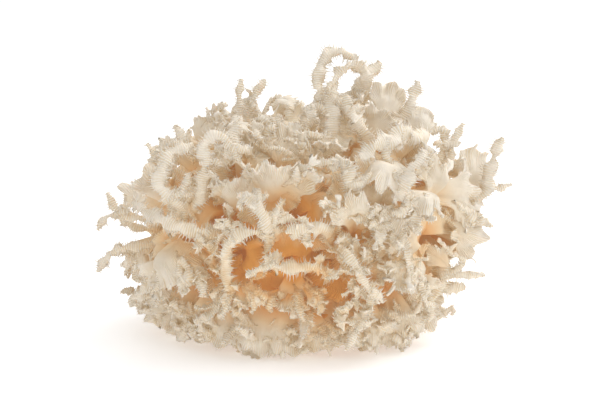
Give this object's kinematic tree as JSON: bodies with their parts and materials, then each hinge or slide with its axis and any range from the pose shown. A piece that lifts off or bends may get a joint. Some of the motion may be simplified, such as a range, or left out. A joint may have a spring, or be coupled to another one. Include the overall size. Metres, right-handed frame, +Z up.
{
  "type": "coral fungus",
  "caption": "Branched coral-like fruiting body of pale flesh: ribbons and fans with comb-toothed margins grown from one thick heart, resting on its flat cut base.",
  "frame": {"origin": "middle of the flat cut base, on the surface the fruiting body rests on", "axes": "+X along the longest side, to the right as seen from the front; +Y from the front to the back; +Z up"},
  "size_m": [0.1759, 0.1284, 0.1243],
  "materials": {
    "flesh": "soft matt flesh, ivory at the tips and ochre in the recesses"
  },
  "bodies": {
    "root": {"coral_fungus": "flesh"}
  },
  "joints": []
}
